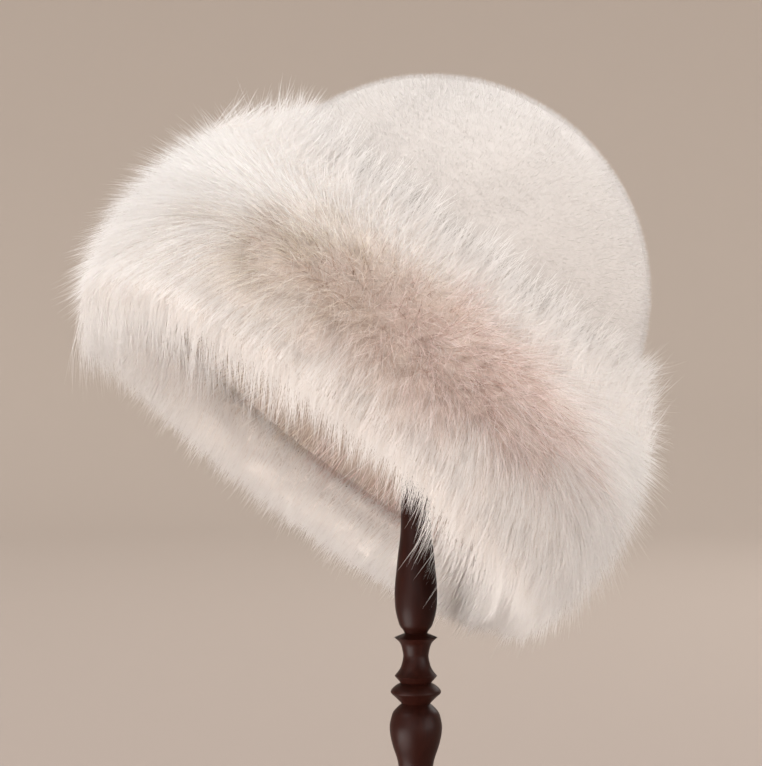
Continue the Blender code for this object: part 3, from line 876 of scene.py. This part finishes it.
# Dark stained beech under a satin oil finish: grain runs up the post, with soft highlights
def makeStainedWood():
    material, tree, shader = newMaterial("dark stained beech")
    place = addNode(tree, "ShaderNodeTexCoord").outputs["Object"]
    stretched = addNode(tree, "ShaderNodeMapping", {"Vector": place, "Scale": (1.0, 1.0, 0.09)})
    grain = addNode(
        tree, "ShaderNodeTexNoise",
        {"Vector": stretched.outputs[0], "Scale": 620.0, "Detail": 6.0, "Roughness": 0.7}).outputs["Fac"]
    clouds = addNode(tree, "ShaderNodeTexNoise", {"Vector": place, "Scale": 45.0, "Detail": 3.0})
    colour = addRamp(tree, grain, ((0.3, "1C0906"), (0.55, "280F09"), (0.75, "36170F")))
    colour = mixColours(tree, clouds.outputs["Fac"], colour, hexColour("200B07"), "MIX")
    tree.links.new(colour, shader.inputs["Base Color"])
    rough = addNode(
        tree, "ShaderNodeMapRange",
        {"Value": grain, "From Min": 0.3, "From Max": 0.7, "To Min": 0.34, "To Max": 0.48})
    shader.inputs["Specular IOR Level"].default_value = 0.10
    tree.links.new(rough.outputs[0], shader.inputs["Roughness"])
    bump = addNode(tree, "ShaderNodeBump", {"Height": grain, "Strength": 0.25, "Distance": 0.2 * mm})
    tree.links.new(bump.outputs[0], shader.inputs["Normal"])
    return material


stainedWood = makeStainedWood()


# a smooth line through (height, radius) rows: a cubic in t between two rows, whose slopes come from the
# rows beside them, broken at the crisp ones
def turnedLine(rows, steps=4):
    line = []
    start = 0
    rows = np.array(rows)
    for end in range(1, len(rows)):
        if rows[end, 2] < 0.5:
            continue
        run = rows[start:end + 1, :2]
        padded = np.concatenate([run[:1], run, run[-1:]])
        t = np.linspace(0, 1, steps, endpoint=False)[:, None]
        for a, b, c, d in zip(padded, padded[1:], padded[2:], padded[3:]):
            square, cube = 2 * a - 5 * b + 4 * c - d, 3 * b - a - 3 * c + d
            line.append(0.5 * (2 * b + (c - a) * t + square * t ** 2 + cube * t ** 3))
        start = end
    line.append(rows[-1:, :2])
    return np.concatenate(line)


# spins a (radius, height) line round the post's axis; its ends lie on the axis
def addTurned(name, radius, height, node, sides):
    grid = spin(radius, height, sides)
    points = np.concatenate([grid.reshape(-1, 3), [(0, 0, height[0]), (0, 0, height[-1])]])
    piece = addMesh(name, points, closedFaces(len(radius), sides, downwards=False), stainedWood)
    piece.data.set_sharp_from_angle(angle=math.radians(38))
    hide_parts(node)
    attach(piece, "root")
    print(name, len(piece.data.polygons), "triangles")


# the post's own line, the head's domed disc on its boss, and the foot's round rim under a hollow slope
def buildStand():
    line = turnedLine(stand["post"])
    addTurned(
        "post_turned", line[:, 1] * stand["radius"], stand["foot"] + line[:, 0] * stand["length"],
        "stand_post", stand["sides"])

    curve, boss, wide, edge = (stand[key] for key in ("headCurve", "bossRadius", "headRadius", "headEdge"))
    half = math.asin(wide / curve)
    centre = stand["headTop"] - curve
    shoulder = centre + curve * math.cos(half)
    seat = shoulder - edge - stand["boss"]
    up = np.linspace(half, 0.02, 24)
    bulge = np.linspace(-math.pi / 2, math.pi / 2, 12)
    radius = np.concatenate([
        [boss * 0.9, boss, boss, boss],
        wide - edge / 2 + edge / 2 * np.cos(bulge), curve * np.sin(up)])
    height = np.concatenate([
        [seat, seat + 0.8 * mm, seat + stand["boss"] * 0.5, seat + stand["boss"]],
        shoulder - edge / 2 + edge / 2 * np.sin(bulge), centre + curve * np.cos(up)])
    addTurned("head_turned", radius, height, "stand_head", stand["sides"])

    wide, edge, boss = stand["baseRadius"], stand["baseEdge"], stand["baseBoss"]
    bulge = np.linspace(-math.pi / 2, math.pi / 2, 16)
    sweep = np.linspace(0, math.pi / 2, 40)
    radius = np.concatenate([
        [wide - edge / 2 - 3 * mm], wide - edge / 2 + edge / 2 * np.cos(bulge),
        boss + (wide - edge / 2 - boss) * (1 - np.sin(sweep))])
    height = np.concatenate([
        [0.0], edge / 2 + edge / 2 * np.sin(bulge),
        edge + (stand["baseHeight"] - edge) * (1 - np.cos(sweep))])
    addTurned("base_turned", radius, height, "stand_base", stand["baseSides"])


buildStand()


# The brim's pelt is hidden between the fur and the lining, and keeps its solid. Its back is sheepskin
# suede, brushed and matte.
def makeSuede():
    material, tree, shader = newMaterial("sheepskin suede")
    place = addNode(tree, "ShaderNodeTexCoord").outputs["Object"]
    nap = addNode(tree, "ShaderNodeTexNoise", {"Vector": place, "Scale": 700.0, "Detail": 5.0})
    colour = addRamp(tree, nap.outputs["Fac"], ((0.3, "C8B6A6"), (0.7, "DDCFC2")))
    tree.links.new(colour, shader.inputs["Base Color"])
    shader.inputs["Roughness"].default_value = 0.92
    return material


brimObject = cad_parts["brim"]
brimObject = brimObject if hasattr(brimObject, "data") else bpy.data.objects["brim"]
brimObject.data.materials.clear()
brimObject.data.materials.append(makeSuede())


# The studio: a pale bowl, soft lights and the camera

studio = dict(
    floorRadius=2.6, wallRadius=4.2, wallHeight=4.6, sides=96,
    floorShadeColour="988D85", wallColour="AEA399",
)


# Painted paper, matte, darker towards the middle of the floor: a painted shade round the stand. The bowl is
# a flat floor, a quarter circle up to the wall and a straight wall, spun.
def buildStudio():
    t = np.linspace(0, math.pi / 2, 25)
    bend = studio["wallRadius"] - studio["floorRadius"]
    radius = np.concatenate([[0.02, 1.0], studio["floorRadius"] + bend * np.sin(t), [studio["wallRadius"]]])
    height = np.concatenate([[0.0, 0.0], bend * (1 - np.cos(t)), [studio["wallHeight"]]])
    sides = studio["sides"]
    points = np.concatenate([spin(radius, height, sides).reshape(-1, 3), [(0, 0, 0)]])
    quads = gridFaces(len(radius), sides)
    faces = np.concatenate([quads[:, [0, 1, 2]], quads[:, [0, 2, 3]]])
    c = np.arange(sides)
    middle = np.stack([np.full(sides, len(points) - 1), c, (c + 1) % sides], -1)
    material, tree, shader = newMaterial("studio paper with painted floor shade")
    place = addNode(tree, "ShaderNodeTexCoord").outputs["Object"]
    away = addNode(tree, "ShaderNodeVectorMath", {0: place}, operation="LENGTH")
    far = addNode(
        tree, "ShaderNodeMapRange", {"Value": away.outputs["Value"], "From Min": 0.2, "From Max": 3.4})
    # darker near the middle, lighter out towards the wall: painted floor shade
    floorShadePaint, wallPaint = hexColour(studio["floorShadeColour"]), hexColour(studio["wallColour"])
    paper = mixColours(tree, far.outputs[0], floorShadePaint, wallPaint)
    tree.links.new(paper, shader.inputs["Base Color"])
    shader.inputs["Roughness"].default_value = 0.95
    shader.inputs["Specular IOR Level"].default_value = 0.1
    bowl = addMesh("studio_bowl", points, np.concatenate([faces[:, ::-1], middle]), material)


def addSoftLight(name, place, aim, width, height, power, colour):
    light = bpy.data.lights.new(name, "AREA")
    light.shape = "RECTANGLE"
    light.size, light.size_y = width, height
    light.energy = power
    light.color = colour
    lamp = bpy.data.objects.new(name, light)
    bpy.context.scene.collection.objects.link(lamp)
    lamp.location = place
    way = np.array(aim) - np.array(place)
    tip = math.atan2(math.hypot(way[0], way[1]), -way[2])
    lamp.rotation_euler = (tip, 0.0, math.atan2(way[1], way[0]) - math.pi / 2)
    lamp.visible_camera = False
    return lamp


buildStudio()
# place, size across and up, watts and colour; all look at the hat
paleLight = (1.0, 0.983, 0.976)
warmLight = (1.0, 0.955, 0.925)
softLights = dict(
    key=((-1.6, -1.0, 2.0), 1.5, 1.5, 28.0, paleLight),
    right=((2.3, -1.2, 0.6), 1.8, 0.8, 33.0, paleLight),
    front=((-0.8, -2.4, 0.42), 2.4, 0.5, 14.0, paleLight),
    under=((-0.17, -0.11, 0.02), 0.22, 0.20, 1.6, warmLight),
    lowLeft=((-0.75, -1.05, 0.19), 1.0, 0.14, 1.6, paleLight),
    lowRight=((0.8, -1.0, 0.19), 1.0, 0.14, 3.5, paleLight),
    back=((1.3, 1.7, 1.5), 1.4, 1.4, 18.0, paleLight),
)
lightAim = (0.0, 0.0, 0.31)
for name, (place, wide, tall, power, colour) in softLights.items():
    addSoftLight(name, place, lightAim, wide, tall, power, colour)
world = bpy.data.worlds.new("studio air")
world.use_nodes = True
world.node_tree.nodes["Background"].inputs["Color"].default_value = (1.0, 0.98, 0.972, 1.0)
world.node_tree.nodes["Background"].inputs["Strength"].default_value = 1.93
bpy.context.scene.world = world

view = dict(aim=(-16.1 * mm, 0.0, 286.2 * mm), away=1.2, up=math.radians(1.5), lens=122.6)
cameraData = bpy.data.cameras.new("camera")
cameraData.sensor_fit = "VERTICAL"
cameraData.sensor_height = 36.0
cameraData.lens = view["lens"]
camera = bpy.data.objects.new("camera", cameraData)
bpy.context.scene.collection.objects.link(camera)
camera.location = (
    view["aim"][0],
    view["aim"][1] - view["away"] * math.cos(view["up"]),
    view["aim"][2] + view["away"] * math.sin(view["up"]),
)
camera.rotation_euler = (math.pi / 2 - view["up"], 0.0, 0.0)
bpy.context.scene.camera = camera
bpy.context.scene.view_settings.view_transform = "Standard"
